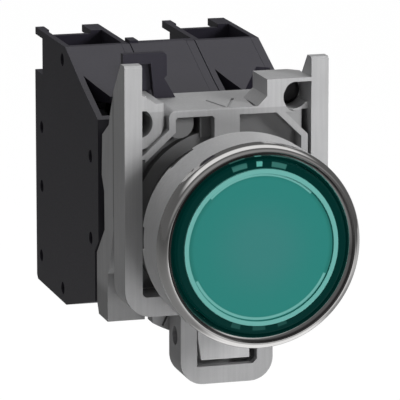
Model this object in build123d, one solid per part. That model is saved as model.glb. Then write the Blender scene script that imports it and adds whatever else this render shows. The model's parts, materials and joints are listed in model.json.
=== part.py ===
from build123d import *
import math
import os

# Illuminated push button for a 22 mm panel hole, as it stands with no panel in it.
# The origin is on the button's axis, in the plane where the collar bears on the back
# of the panel. X runs to the right, Y back along the button and Z up. Millimetres.

# Clearances
running_gap = 0.1          # between a sliding piece and its guide, on the radius
seat_gap = 0.05            # between two pieces that rest on each other
module_gap = 0.05          # on each side of each module behind the collar

# Head
flange_radius = 14.5
flange_rear = -6.9         # plane of the flange's back face
flange_front = -14.6
flange_wall = 2.0          # around the seat of the lens
stem_radius = 11.0
stem_wall = 1.0
stem_rear = 10.5
cap_bore_depth = 5.4
spring_shoulder_y = 4.0
spring_shoulder_thickness = 1.0
latch_groove_depth = 0.45
flange_notch_depth = 1.1
flange_notch_floor = 1.2   # how far each notch in the flange's back edge goes in
flange_notches = [(-89.0, 3.2), (-38.0, 4.0), (38.0, 4.0), (89.0, 3.2)]
gasket_thickness = 0.8
gasket_width = 1.9

# Bezel ring
bezel_front = -17.1
bezel_step = 0.05          # between the flange's side and the ring's
bezel_bead_start = -15.5
bezel_nose = 1.0
bezel_groove_depth = 0.25
bezel_inner_front = -16.15

# Button
button_travel = 4.3
lens_front = -16.6
lens_gap = 0.15            # around the lens, and between its skirt and the carrier
lens_wall = 1.2
lens_skirt_wall = 0.6
lens_rim_inset = 1.25
lens_rim_width = 0.7
lens_rim_height = 0.2
legend_thickness = 0.8
carrier_flange_thickness = 0.9
carrier_step = 1.3         # room for the return spring around the carrier
carrier_wall = 1.1
carrier_shoulder_y = -4.5
carrier_rear = 12.6
carrier_lip_thickness = 1.2
carrier_lip_width = 2.4
ring_groove_depth = 0.2
o_ring_front = -6.6
o_ring_width = 0.8
o_ring_depth = 0.65
stop_ring_lap = 0.7        # over the rear end of the stem
stop_ring_thickness = 1.3
return_wire = 0.5
return_turns = 4

# Fixing collar
collar_width = 30.0
pillar_width = 2.55
pillar_top = 23.2
pillar_top_depth = 2.0
pillar_side_step = 0.25    # the outer side steps in behind this line
pillar_side_step_y = 6.5
frame_depth = 6.0          # depth of the U-shaped front frame
frame_bottom = -13.07
frame_inner_bottom = -10.2
frame_outer_corner = 4.0
frame_inner_corner = 0.7
collar_bore_gap = 0.2      # around the stem
collar_plate_rear = 12.7
ledge_z = 16.5
ledge_thickness = 1.0
ledge_depth = 12.9
ledge_groove_width = 0.45
ledge_groove_depth = 0.25
ledge_grooves = [((-1.3, 6.7), (0.0, 0.9)), ((2.9, 7.0), (0.4, 0.9)), ((4.8, 6.5), (4.2, 0.5))]
rim_inset = 3.95           # from the left pillar to the upright band of the rim
rim_band = 0.95
rim_corner = 1.0
rim_diagonal_top = 13.8
rim_diagonal_low = 10.2
rim_right_inset = 4.85
rim_right_edge = 0.5
rim_right_low = 12.15
foot_width = 5.8           # lower corner blocks of the collar
foot_front = 10.7
foot_bottom = -16.1
foot_rear = 16.7
foot_chamfer_y = 15.7
foot_chamfer_z = -14.4
rim_floor_y = 3.2          # floor of the recess on the right
left_floor_y = 4.2
left_floor_end = -8.6      # below this the left recess is deeper
deep_floor_y = 5.3
well_ring_radius = 13.1    # round wall inside the left recess
well_ring_y = 2.6
rib_half_width = 1.85
lug_x = -6.35              # half-round lug at the top of the left recess
lug_z = 14.1
lug_radius = 2.05
lug_y = 2.3
lug_gap = 0.95             # between the lug and the pad beside the rib
side_slot = 0.45           # deep slot beside the left pillar
boss_width = 6.55
boss_top = 20.3
boss_depth = 7.1
boss_facet = 1.4
facet_inset = 0.95         # from the right pillar to the sunk face under the boss
screw_pocket_half = 3.95
screw_pocket_low = 15.5
screw_pocket_high = 19.75
screw_pocket_corner = 1.6
screw_pocket_depth = 5.6
left_pocket_z = 14.75
left_pocket_radius = 2.15
left_pocket_inset = 0.35   # the pocket's middle lies this far inside the pillar
left_pocket_wall = 1.6
left_boss_front = 1.0
left_boss_top = 17.5
left_boss_rear = 10.9
left_fill_y = 2.0
gusset_width = 0.9
gusset_top = 18.6
clamp_screw_radius = 2.0
clamp_screw_inset = 2.1
clamp_screw_front = 4.9
clamp_screw_rear = 10.6
clamp_slot_width = 0.7
clamp_slot_depth = 0.9

# Release latch under the collar
latch_travel = 2.0
latch_half_width = 6.87
latch_top = -13.2
latch_bottom = -23.5
latch_depth = 6.1
latch_wall = 1.27
latch_corner = 3.4
latch_window_left = -4.42
latch_window_right = 4.47
latch_window_bottom = -20.9
latch_window_corner = 0.6
latch_back_wall = 1.0
latch_hole_radius = 1.35
latch_hole_y = 3.1
latch_hole_z = -16.8
latch_bridge_z = -15.7
latch_bridge_thickness = 0.8
latch_bolt_half_width = 3.9
latch_bolt_front = 4.6
latch_bolt_gap = 0.1       # between the bolt's end and the floor of the stem's groove
tongue_right = 3.33
tongue_bottom = -19.95
tongue_chamfer = 0.5
tongue_chamfer_z = -16.7
tongue_thickness = 1.4
tongue_foot_half_width = 1.8
tongue_foot_depth = 4.6
tongue_foot_thickness = 0.85
guide_radius = 18.15       # round plate behind the latch, with an ear on each side
guide_half_width = 9.3
guide_thickness = 2.6
guide_slit_width = 0.35
guide_slit_depth = 0.6
latch_wire = 0.3
latch_spring_radius = 1.1
latch_turns = 3

# Modules behind the collar: contact block, light module, contact block
module_front = 15.0
module_relief_gap = 0.35   # around the stop ring, where the modules are cut back
module_rear = 52.4
module_top = 20.2
module_bottom = -19.1
rear_step = 4.6            # depth of the step at the rear
notch_z = 13.6
ramp_top_y = 33.8
ramp_knee_y = 24.0
ramp_knee_z = 16.1
ramp_foot_z = 12.8
chamfer_top_z = -14.6
chamfer_y = 34.2
foot_step_y = 17.1
foot_step_z = -7.0
cover_thickness = 1.3
thin_wall = 0.9
trough_front = 35.0
trough_rear_wall = 1.1
trough_rear_top = 19.65
trough_floor = 13.9
ear_length = 4.3
ear_thickness = 1.1
left_ear_width = 1.35
right_ear_width = 2.6
cavity_front = 21.5
cavity_rear = 46.5
cavity_half_height = 7.3
cavity_wall = 1.2
entry_width = 5.1
entry_front = 16.0
entry_rear = 26.5
entry_floor = 9.6
tongue_tip_y = 20.8
tongue_tip_left = 3.45     # from the block's left side
tongue_tip_right = 3.9
tongue_rear_right = 7.3
well_right = 9.2
well_right_rear = 26.1
tongue_depth = 2.2
terminal_front = 26.3
terminal_rear = 34.0
terminal_half_width = 2.6
peg_radius = 0.95
peg_hole_depth = 0.75
peg_length = 1.0
peg_points = [(48.6, 5.3), (19.4, 6.6), (48.8, -3.9), (19.4, -5.6), (49.4, -14.9), (36.2, -17.0)]
top_mark = (35.6, 18.0)    # round mark on the outside only, beside the trough
screw_shank_radius = 1.5
screw_head_radius = 2.4
screw_head_length = 2.5
screw_access_radius = 2.55
screw_front = 27.5
screw_seat_y = 38.0
screw_slot = 0.7
screw_slot_depth = 1.0
upper_screw_z = 10.4
lower_screw_z = -13.2
ridge_rear = 35.2          # rear edge of the light module's ridge
ridge_top = 20.35
ridge_tab_width = 1.3
ridge_tab_depth = 1.8
ridge_tab_top = 20.6
clamp_half_width = 2.3
clamp_thickness = 1.2
strip_front = 32.7
strip_thickness = 0.8
strip_half_width = 2.1

# Contacts
contact_travel = 2.6       # the bridge closes the contact after this much of the travel
plunger_radius = 1.0
plunger_half_width = 1.6
plunger_half_height = 2.2
plunger_body_front = 21.8
plunger_body_rear = 38.0
plunger_window_front = 24.0
bridge_thickness = 0.7
bridge_half_width = 0.9
bridge_half_length = 6.8
rivet_z = 5.6
rivet_height = 0.4
rivet_radius = 0.85
small_wire = 0.35
small_spring_radius = 1.1
plunger_spring_turns = 4
bridge_spring_turns = 2

# Lamp
lamp_tube_radius = 4.2
lamp_tube_wall = 0.8
lamp_tube_front = 4.0
lamp_radius = 2.5
lamp_front = 1.2
lamp_rear = 8.0
lead_radius = 0.3
lead_offset = 1.27
board_front = 22.6
board_thickness = 1.2
board_room = 0.4           # between the board's ends and the cavity
clip_front = 9.7
clip_thickness = 1.2
clip_bar_low = 21.6
clip_top = 23.15
clip_corner = 0.4
clip_bar_left = 7.6        # from the light module's left side, like the next five
clip_leg_left = 3.5
clip_leg_right = 1.1
clip_foot_left = 3.0
clip_foot_right = -0.15
clip_web_left = 4.6        # ribs behind the plate
clip_web_rear = 14.2
clip_gusset_top = 19.8
clip_arm_width = 1.1
clip_arm_start = 0.6       # height of the arm where it leaves the plate
clip_arm_knee = (16.9, 17.6)
clip_arm_top = 19.6
clip_arm_rear = 28.0
clip_arm_rear_top = 18.7
clip_seat_width = 1.0      # how far the arm's end reaches over the light module

# Sizes that follow from the others
half_width = collar_width / 2
pillar_inner = half_width - pillar_width
cap_bore_radius = flange_radius - flange_wall
guide_bore_radius = stem_radius - stem_wall
gasket_radius = stem_radius + seat_gap + gasket_width
bezel_radius = flange_radius - bezel_step
bezel_groove_radius = bezel_radius - bezel_nose
lens_radius = cap_bore_radius - lens_gap
lens_rim_radius = lens_radius - lens_rim_inset
carrier_flange_radius = lens_radius - lens_skirt_wall - lens_gap
carrier_tail_radius = guide_bore_radius - carrier_step
carrier_bore_radius = carrier_tail_radius - carrier_wall
carrier_lip_bore_radius = carrier_bore_radius - carrier_lip_width
stop_ring_radius = guide_bore_radius + stop_ring_lap
rim_left = rim_inset - pillar_inner
rim_right = pillar_inner - rim_right_inset
boss_left = pillar_inner - boss_width
left_boss_right = left_pocket_radius + left_pocket_wall - left_pocket_inset - pillar_inner
clamp_screw_x = pillar_inner - clamp_screw_inset
clamp_screw_z = (screw_pocket_low + screw_pocket_high) / 2
module_pitch = collar_width / 3
module_width = module_pitch - 2 * module_gap
notch_y = module_rear - rear_step
collar_bore_radius = stem_radius + collar_bore_gap
cap_floor_y = flange_front + cap_bore_depth
legend_front = lens_front + lens_wall + seat_gap
carrier_front = legend_front + legend_thickness + seat_gap
carrier_flange_rear = carrier_front + carrier_flange_thickness
stop_ring_front = stem_rear + running_gap
stop_ring_rear = stop_ring_front + stop_ring_thickness
carrier_radius = guide_bore_radius - running_gap
latch_groove_radius = stem_radius - latch_groove_depth
module_relief_radius = stop_ring_radius + module_relief_gap
module_relief_y = carrier_rear + button_travel + running_gap * 3
strip_rear = strip_front + strip_thickness
bridge_rear = strip_front - 2 * rivet_height - contact_travel - seat_gap
bridge_front = bridge_rear - bridge_thickness

os.makedirs("parts", exist_ok=True)


# Helpers

def box(x_low, x_high, y_low, y_high, z_low, z_high):
    """Box between two corners."""
    size = Box(x_high - x_low, y_high - y_low, z_high - z_low, align=(Align.MIN, Align.MIN, Align.MIN))
    return Pos(x_low, y_low, z_low) * size


def front_prism(sketch, y_low, y_high):
    """Sketch of X and Z, seen from the front, carried from y_low to y_high."""
    plane = Plane(origin=(0, y_high, 0), x_dir=(1, 0, 0), z_dir=(0, -1, 0))
    return extrude(plane * sketch, y_high - y_low)


def side_prism(points, x_low, x_high):
    """Outline of (Y, Z) points, seen from the side, carried from x_low to x_high."""
    face = make_face(Polyline(*points, close=True))
    return extrude(Plane.YZ.offset(x_low) * face, x_high - x_low)


def plan_prism(points, z_low, z_high):
    """Outline of (X, Y) points, seen from above, carried from z_low to z_high."""
    face = make_face(Polyline(*points, close=True))
    return extrude(Plane.XY.offset(z_low) * face, z_high - z_low)


def tube(outer, inner, y_low, y_high, x=0.0, z=0.0):
    """Tube or disc along Y."""
    ring = Circle(outer)
    if inner > 0:
        ring = ring - Circle(inner)
    return Pos(x, 0, z) * front_prism(ring, y_low, y_high)


def turned(points):
    """Ring turned about the button's axis from (radius, Y) points."""
    face = make_face(Polyline(*points, close=True))
    return revolve(face, Axis.Y, 360)


def polygon(points):
    return make_face(Polyline(*points, close=True))


def coil(radius, wire, turns, start, length, direction):
    """Round coil spring of square-cut wire, from a start point along a direction."""
    span = length - wire
    path = Helix(pitch=span / turns, height=span, radius=radius)
    section = Plane(origin=path @ 0, z_dir=path % 0) * Rectangle(wire, wire)
    spring = sweep(section, path=path, is_frenet=True)
    frame = Plane(origin=start, z_dir=direction)
    return frame * (Pos(0, 0, wire / 2) * spring)


def save(name, shape):
    """Write one node, as one solid or as a group of separate solids."""
    solids = shape.solids()
    node = solids[0] if len(solids) == 1 else Compound(children=list(solids))
    node.label = name
    export_step(node, "parts/" + name + ".step")


# Head of the button

def make_head_body():
    wall_y = flange_rear
    shoulder_rear = spring_shoulder_y + spring_shoulder_thickness
    shoulder_bore = carrier_tail_radius + running_gap
    body = turned([
        (stem_radius, wall_y), (flange_radius - 0.3, wall_y), (flange_radius, wall_y - 0.3),
        (flange_radius, flange_front), (cap_bore_radius, flange_front), (cap_bore_radius, cap_floor_y),
        (guide_bore_radius, cap_floor_y), (guide_bore_radius, spring_shoulder_y),
        (shoulder_bore, spring_shoulder_y), (shoulder_bore, shoulder_rear),
        (guide_bore_radius, shoulder_rear), (guide_bore_radius, stem_rear), (stem_radius, stem_rear),
    ])
    groove_front = latch_bolt_front - 2 * running_gap
    groove_rear = latch_depth + 2 * running_gap
    body -= tube(stem_radius + 1, latch_groove_radius, groove_front, groove_rear)
    for angle, width in flange_notches:
        notch = box(-width / 2, width / 2, wall_y - flange_notch_depth, wall_y + 1,
                    flange_radius - flange_notch_floor, flange_radius + 1)
        body -= Rot(0, angle, 0) * notch
    return body


def make_bezel_ring():
    inner = cap_bore_radius
    bead = Line((inner, flange_front), (bezel_radius, flange_front))
    side = Line((bezel_radius, flange_front), (bezel_radius, bezel_bead_start))
    crown_radius = bezel_groove_radius + 0.2
    outer_round = ThreePointArc(
        (bezel_radius, bezel_bead_start), (bezel_radius - 0.22, bezel_front + 0.42), (crown_radius, bezel_front))
    groove_floor = (bezel_groove_radius, bezel_front + bezel_groove_depth)
    groove_outer = Line((crown_radius, bezel_front), groove_floor)
    groove_inner = Line(groove_floor, (bezel_groove_radius - 0.1, bezel_front + 0.12))
    slope = ThreePointArc(
        (bezel_groove_radius - 0.1, bezel_front + 0.12), (inner + 0.4, bezel_front + 0.42), (inner, bezel_inner_front))
    wall = Line((inner, bezel_inner_front), (inner, flange_front))
    outline = Curve() + [bead, side, outer_round, groove_outer, groove_inner, slope, wall]
    return revolve(make_face(outline), Axis.Y, 360)


def make_panel_gasket():
    return tube(gasket_radius, stem_radius + seat_gap, flange_rear, flange_rear + gasket_thickness)


def make_lens_cap():
    skirt_inner = lens_radius - lens_skirt_wall
    skirt_rear = carrier_flange_rear - running_gap
    rim_inner = lens_rim_radius - lens_rim_width
    return turned([
        (0, lens_front), (rim_inner, lens_front), (rim_inner, lens_front - lens_rim_height),
        (lens_rim_radius, lens_front - lens_rim_height), (lens_rim_radius, lens_front),
        (lens_radius - 0.3, lens_front), (lens_radius, lens_front + 0.3), (lens_radius, skirt_rear),
        (skirt_inner, skirt_rear), (skirt_inner, lens_front + lens_wall), (0, lens_front + lens_wall),
    ])


def make_legend_disc():
    radius = lens_rim_radius - 0.1
    return tube(radius, 0, legend_front, legend_front + legend_thickness)


def make_lens_carrier():
    groove = carrier_radius - o_ring_depth
    tail_groove = carrier_tail_radius - ring_groove_depth
    lip_front = carrier_rear - carrier_lip_thickness
    return turned([
        (carrier_bore_radius, carrier_front), (carrier_flange_radius, carrier_front),
        (carrier_flange_radius, carrier_flange_rear), (carrier_radius, carrier_flange_rear),
        (carrier_radius, o_ring_front), (groove, o_ring_front),
        (groove, o_ring_front + o_ring_width), (carrier_radius, o_ring_front + o_ring_width),
        (carrier_radius, carrier_shoulder_y), (carrier_tail_radius, carrier_shoulder_y),
        (carrier_tail_radius, stop_ring_front), (tail_groove, stop_ring_front),
        (tail_groove, stop_ring_rear), (carrier_tail_radius, stop_ring_rear),
        (carrier_tail_radius, carrier_rear), (carrier_lip_bore_radius, carrier_rear),
        (carrier_lip_bore_radius, lip_front), (carrier_bore_radius, lip_front),
    ])


def make_o_ring():
    inner = carrier_radius - o_ring_depth
    outer = guide_bore_radius - running_gap / 2
    return tube(outer, inner, o_ring_front, o_ring_front + o_ring_width)


def make_return_spring():
    radius = (carrier_tail_radius + guide_bore_radius) / 2
    start = carrier_shoulder_y + seat_gap
    length = spring_shoulder_y - seat_gap - start
    return coil(radius, return_wire, return_turns, (0, start, 0), length, (0, 1, 0))


def make_stop_ring():
    return tube(stop_ring_radius, carrier_tail_radius - ring_groove_depth, stop_ring_front, stop_ring_rear)


# Fixing collar and what it carries

wall_outline = [
    (0, -9.0), (0, pillar_top - 0.3), (0.3, pillar_top), (pillar_top_depth, pillar_top), (6.3, 18.3), (7.2, 17.9),
    (8.2, 16.05), (8.9, 14.85), (9.6, 13.1), (13.3, 11.0), (13.7, 5.0), (12.35, 2.85), (12.2, -2.8),
    (foot_rear, -7.1), (foot_rear, foot_chamfer_z), (foot_chamfer_y, foot_bottom), (foot_front, foot_bottom),
    (foot_front, -9.0), (9.6, -8.0), (6.4, 0.6), (frame_depth, -9.0),
]
foot_outline = [
    (foot_front, -8.5), (foot_front, foot_bottom), (foot_chamfer_y, foot_bottom), (foot_rear, foot_chamfer_z),
    (foot_rear, -8.5),
]


def mirrored(shape):
    """A shape and its mirror image across the button's upright middle plane."""
    return shape + mirror(shape, Plane.YZ)


def make_front_frame():
    height = frame_outer_corner * 3
    outer = Pos(0, frame_bottom + height / 2) * RectangleRounded(collar_width, height, frame_outer_corner)
    outer += Pos(0, frame_bottom + height * 3 / 4) * Rectangle(collar_width, height / 2)
    inner_height = height * 2
    inner = Pos(0, frame_inner_bottom + inner_height / 2) * RectangleRounded(
        2 * pillar_inner, inner_height, frame_inner_corner)
    return front_prism(outer - inner, 0, frame_depth)


def make_left_recess():
    """Outline of the recess left of the rib, between the rim's bands and the pillar."""
    top = ledge_z - ledge_thickness
    left = rim_left + rim_band
    slope = (rim_diagonal_top - rim_diagonal_low) / (rim_left + pillar_inner)
    drop = rim_band * math.hypot(1, slope)
    corner = 0.3
    return polygon([
        (left, top - corner), (left + corner, top), (-rib_half_width - corner, top),
        (-rib_half_width, top - corner), (-rib_half_width, frame_inner_bottom),
        (frame_inner_corner - pillar_inner, frame_inner_bottom),
        (-pillar_inner, frame_inner_bottom + frame_inner_corner), (-pillar_inner, rim_diagonal_low - drop),
        (left, rim_diagonal_top - drop + rim_band * slope),
    ])


def make_rim():
    """Eight-sided plate in front of the collar, with its recesses."""
    right_edge = pillar_inner - rim_right_edge
    top = ledge_z - ledge_thickness
    outline = polygon([
        (rim_left, ledge_z - rim_corner), (rim_left + rim_corner, ledge_z), (rim_right, ledge_z),
        (right_edge, rim_right_low), (right_edge, frame_inner_bottom), (-pillar_inner, frame_inner_bottom),
        (-pillar_inner, rim_diagonal_low), (rim_left, rim_diagonal_top),
    ])
    outline += Pos(rim_left + rim_corner, ledge_z - rim_corner) * Circle(rim_corner)
    plate = front_prism(outline, 0, frame_depth)
    recess = make_left_recess()
    plate -= front_prism(recess, -1, left_floor_y)
    inside = front_prism(recess, 0, frame_depth)
    plate += tube(well_ring_radius, 0, well_ring_y, frame_depth) & inside
    lug = tube(lug_radius, 0, lug_y, frame_depth, lug_x, lug_z)
    lug += box(rim_left, lug_x + lug_radius, lug_y, frame_depth, lug_z, top + 0.2)
    pad_left = lug_x + lug_radius + lug_gap
    lug += box(pad_left, -rib_half_width, lug_y, frame_depth, well_ring_radius - 1, top + 0.2)
    plate += lug & inside
    channel = box(lug_x + lug_radius, pad_left, -1, frame_depth, well_ring_radius - 0.5, top)
    plate -= channel & front_prism(recess, -1, frame_depth)
    deep = box(-pillar_inner, side_slot - pillar_inner, -1, deep_floor_y, frame_inner_bottom,
               rim_diagonal_low - side_slot)
    deep += box(-pillar_inner, 0, -1, deep_floor_y, frame_inner_bottom, left_floor_end)
    plate -= deep
    right_window = polygon([
        (rib_half_width, top + 0.1), (rim_right - 0.4, top + 0.1), (right_edge - rim_band, rim_right_low - 0.25),
        (right_edge - rim_band, -9.0), (rib_half_width, -9.0),
    ])
    plate -= front_prism(right_window, -1, rim_floor_y)
    return plate


def make_collar_plate():
    low = frame_inner_bottom
    cut = pillar_inner / 4
    outline = polygon([
        (-pillar_inner, low + cut), (-pillar_inner + cut, low), (pillar_inner - cut, low),
        (pillar_inner, low + cut), (pillar_inner, ledge_z), (-pillar_inner, ledge_z),
    ])
    return front_prism(outline, frame_depth, collar_plate_rear)


def make_right_boss():
    boss = box(boss_left, pillar_inner, 0, boss_depth, ledge_z - ledge_thickness, boss_top)
    boss -= plan_prism([
        (pillar_inner - boss_facet, boss_depth), (pillar_inner + 1, boss_depth),
        (pillar_inner + 1, boss_depth - boss_facet), (pillar_inner, boss_depth - boss_facet),
    ], ledge_z, boss_top + 1)
    boss += front_prism(polygon([
        (boss_left - boss_facet, ledge_z), (boss_left, ledge_z + boss_facet), (boss_left, ledge_z),
    ]), 0, boss_depth)
    boss += front_prism(polygon([
        (rim_right, ledge_z), (pillar_inner - facet_inset, ledge_z), (pillar_inner - facet_inset, rim_right_low),
        (pillar_inner - rim_right_edge - rim_band, rim_right_low),
    ]), rim_floor_y / 2, frame_depth)
    height = screw_pocket_high - screw_pocket_low
    pocket = Pos(pillar_inner, clamp_screw_z) * RectangleRounded(2 * screw_pocket_half, height, screw_pocket_corner)
    boss -= front_prism(pocket, -1, screw_pocket_depth) & box(0, pillar_inner, -1, boss_depth, 0, boss_top + 1)
    return boss


def make_left_boss():
    x = -pillar_inner
    wall = tube(left_pocket_radius + left_pocket_wall, 0, left_boss_front, frame_depth, x - left_pocket_inset,
                left_pocket_z)
    wall += box(x, left_boss_right, left_boss_front, frame_depth, left_pocket_z, left_boss_top)
    wall += box(x, left_boss_right, frame_depth, left_boss_rear, ledge_z - 1, left_boss_top)
    wall += box(x, x + gusset_width, left_boss_front, frame_depth, left_pocket_z, gusset_top)
    wall += front_prism(polygon([
        (x, rim_diagonal_low), (rim_left, rim_diagonal_top), (rim_left, ledge_z - rim_corner), (x, ledge_z - rim_corner),
    ]), left_fill_y, frame_depth)
    return wall & box(x, 0, 0, ledge_depth, 0, gusset_top)


def make_latch_guides():
    """Round plate behind the latch, and the tongue with its spring seat inside the latch."""
    front = latch_depth + running_gap
    plate = tube(guide_radius, 0, front, front + guide_thickness)
    plate = plate & box(-guide_half_width, guide_half_width, 0, front + guide_thickness, -guide_radius - 1,
                        frame_inner_bottom + 1)
    slit = Pos(-latch_half_width - 0.6, 0, -15.3) * Rot(0, 24, 0) * box(
        -guide_slit_width / 2, guide_slit_width / 2, front - 1, front + guide_slit_depth, -0.8, 0.8)
    plate -= mirrored(slit)
    left = latch_window_left + running_gap
    tongue = front_prism(polygon([
        (left, frame_bottom + 0.5), (tongue_right, frame_bottom + 0.5), (tongue_right, tongue_bottom),
        (left + tongue_chamfer, tongue_bottom), (left, tongue_chamfer_z),
    ]), 0, tongue_thickness)
    seat = box(-tongue_foot_half_width, tongue_foot_half_width, tongue_thickness / 2, tongue_foot_depth,
               tongue_bottom, tongue_bottom + tongue_foot_thickness)
    return plate + tongue + seat


def ledge_groove(start, end):
    """Straight shallow groove in the ledge's top between two (X, Y) points."""
    run = math.hypot(end[0] - start[0], end[1] - start[1])
    turn = math.degrees(math.atan2(end[1] - start[1], end[0] - start[0]))
    cut = box(0, run, -ledge_groove_width / 2, ledge_groove_width / 2, ledge_z - ledge_groove_depth, ledge_z + 1)
    return Pos(start[0], start[1], 0) * Rot(0, 0, turn) * cut


def make_fixing_collar():
    collar = make_front_frame()
    collar += make_rim()
    collar += make_collar_plate()
    collar += mirrored(side_prism(wall_outline, -half_width, -pillar_inner))
    collar += mirrored(side_prism(foot_outline, -half_width, -half_width + foot_width))
    collar -= mirrored(box(-half_width - 1, pillar_side_step - half_width, pillar_side_step_y, foot_rear + 1,
                           foot_bottom - 1, pillar_top))
    top_low = ledge_z - ledge_thickness
    collar += box(rim_left + rim_corner, pillar_inner, 0, ledge_depth, top_low, ledge_z) - box(
        rim_right, pillar_inner, -1, rim_floor_y / 2, top_low - 1, ledge_z + 1)
    for start, end in ledge_grooves:
        collar -= ledge_groove(start, end)
    collar += make_right_boss()
    collar += make_left_boss()
    collar += make_latch_guides()
    collar -= tube(collar_bore_radius, 0, -1, foot_rear + 1)
    pocket = tube(left_pocket_radius, 0, -1, frame_depth, -pillar_inner - left_pocket_inset, left_pocket_z)
    collar -= pocket & box(-pillar_inner, 0, -1, frame_depth, 0, ledge_z)
    collar -= tube(clamp_screw_radius + seat_gap, 0, -1, ledge_depth, clamp_screw_x, clamp_screw_z)
    bolt_half = latch_bolt_half_width + 2 * running_gap
    collar -= box(-bolt_half, bolt_half, latch_bolt_front - running_gap, latch_depth + 2 * running_gap,
                  frame_bottom - 0.01, frame_inner_bottom)
    return collar


def make_clamp_screw():
    tip = 0.5
    shank = tube(clamp_screw_radius, 0, clamp_screw_front + tip, clamp_screw_rear)
    cone = turned([
        (0, clamp_screw_front), (clamp_screw_radius - tip, clamp_screw_front),
        (clamp_screw_radius, clamp_screw_front + tip), (0, clamp_screw_front + tip),
    ])
    slot = box(-clamp_screw_radius - 1, clamp_screw_radius + 1, clamp_screw_rear - clamp_slot_depth,
               clamp_screw_rear + 1, -clamp_slot_width / 2, clamp_slot_width / 2)
    return Pos(clamp_screw_x, 0, clamp_screw_z) * (shank + cone - slot)


def make_release_latch():
    height = latch_top - latch_bottom
    shell = Pos(0, latch_bottom + height / 2) * RectangleRounded(2 * latch_half_width, height, latch_corner)
    shell += Pos(0, latch_top - height / 4) * Rectangle(2 * latch_half_width, height / 2)
    inner_half = latch_half_width - latch_wall
    inner_corner = latch_corner - latch_wall
    hollow = Pos(0, latch_bottom + latch_wall + height) * RectangleRounded(2 * inner_half, 2 * height, inner_corner)
    latch = front_prism(shell, 0, latch_depth)
    latch -= front_prism(hollow, latch_wall, latch_depth + 1)
    latch -= box(latch_window_left, latch_window_right, -1, latch_depth, latch_window_bottom, latch_top + 1)
    corner = latch_window_corner
    latch += front_prism(polygon([
        (latch_window_right - corner, latch_window_bottom), (latch_window_right, latch_window_bottom),
        (latch_window_right, latch_window_bottom + corner),
    ]), 0, latch_wall)
    latch += box(-inner_half - 0.2, inner_half + 0.2, latch_depth - latch_back_wall, latch_depth,
                 latch_bottom + latch_wall, latch_top)
    latch += box(-inner_half, inner_half, tongue_thickness + 2 * running_gap, latch_depth,
                 latch_bridge_z, latch_bridge_z + latch_bridge_thickness)
    bolt = box(-latch_bolt_half_width, latch_bolt_half_width, latch_bolt_front, latch_depth,
               latch_bridge_z, -latch_groove_radius + 2)
    latch += bolt - tube(latch_groove_radius + latch_bolt_gap, 0, -1, latch_depth + 1)
    hole = Plane.YZ.offset(-half_width) * (Pos(latch_hole_y, latch_hole_z) * Circle(latch_hole_radius))
    return latch - extrude(hole, collar_width)


def make_latch_spring():
    low = tongue_bottom + tongue_foot_thickness + seat_gap
    length = latch_bridge_z - seat_gap - low
    return coil(latch_spring_radius, latch_wire, latch_turns, (0, latch_hole_y, low), length, (0, 0, 1))


# Modules

ramp_outline = [(module_front, ramp_foot_z), (ramp_knee_y, ramp_knee_z), (ramp_top_y, module_top)]
lower_outline = [
    (module_rear, notch_z), (module_rear, module_bottom + 0.6), (module_rear - 0.6, module_bottom),
    (chamfer_y, module_bottom), (foot_step_y, chamfer_top_z), (foot_step_y, foot_step_z),
    (module_front, foot_step_z + 1.9),
]
block_outline = ramp_outline + [
    (notch_y + ear_length, module_top), (notch_y + ear_length, module_top - ear_thickness),
    (notch_y, module_top - ear_thickness), (notch_y, notch_z),
] + lower_outline
light_outline = ramp_outline + [(ridge_rear, ridge_top), (ridge_rear, notch_z)] + lower_outline


def module_body(outline, left):
    """Outer form of a module from its left side at X = left, with its two terminals."""
    block = side_prism(outline, left, left + module_width)
    block -= tube(module_relief_radius, 0, 0, module_relief_y)
    x = left + thin_wall + entry_width / 2
    half = terminal_half_width
    for z, low, high in (
        (upper_screw_z, cavity_half_height - 0.5, upper_screw_z + half),
        (lower_screw_z, lower_screw_z - half, 0.5 - cavity_half_height),
    ):
        block -= box(x - half, x + half, terminal_front, terminal_rear, low, high)
        block -= tube(screw_shank_radius + running_gap, 0, terminal_rear - 1, trough_front + 1, x, z)
        block -= tube(screw_access_radius, 0, trough_front + 0.4, module_rear + 1, x, z)
    block -= box(x - entry_width / 2, x + entry_width / 2, foot_step_y + 2.5, terminal_front + 0.2,
                 module_bottom - 1, lower_screw_z + half - 0.2)
    return block, x


def contact_block_body(left):
    """Contact block: wire wells in its ramp, and the trough and the ears behind them."""
    block, x = module_body(block_outline, left)
    inner_left = left + thin_wall
    inner_right = left + module_width - thin_wall
    ear_right = left + module_width - right_ear_width
    block -= box(inner_left, inner_right, trough_front, notch_y - trough_rear_wall, trough_floor, module_top + 1)
    block -= box(inner_left, ear_right, notch_y - trough_rear_wall - 0.1, notch_y + 1, trough_rear_top, module_top + 1)
    block -= box(left + left_ear_width, ear_right, notch_y, module_rear + 1, notch_z, module_top + 1)
    block -= plan_prism([
        (inner_left, entry_front), (inner_left, entry_rear), (left + tongue_tip_left, tongue_tip_y),
        (left + tongue_tip_right, tongue_tip_y), (left + tongue_rear_right, entry_rear),
        (left + well_right, well_right_rear), (left + well_right, entry_front),
    ], entry_floor, module_top + 1)
    block -= box(inner_left, inner_left + entry_width, tongue_tip_y - 0.5, terminal_front + 0.2,
                 entry_floor, ramp_knee_z - tongue_depth)
    return block, x


def across(x, point, radius, length):
    """Round pin along X that starts at x, around a (Y, Z) point."""
    return extrude(Plane.YZ.offset(x) * (Pos(point[0], point[1]) * Circle(radius)), length)


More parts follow.
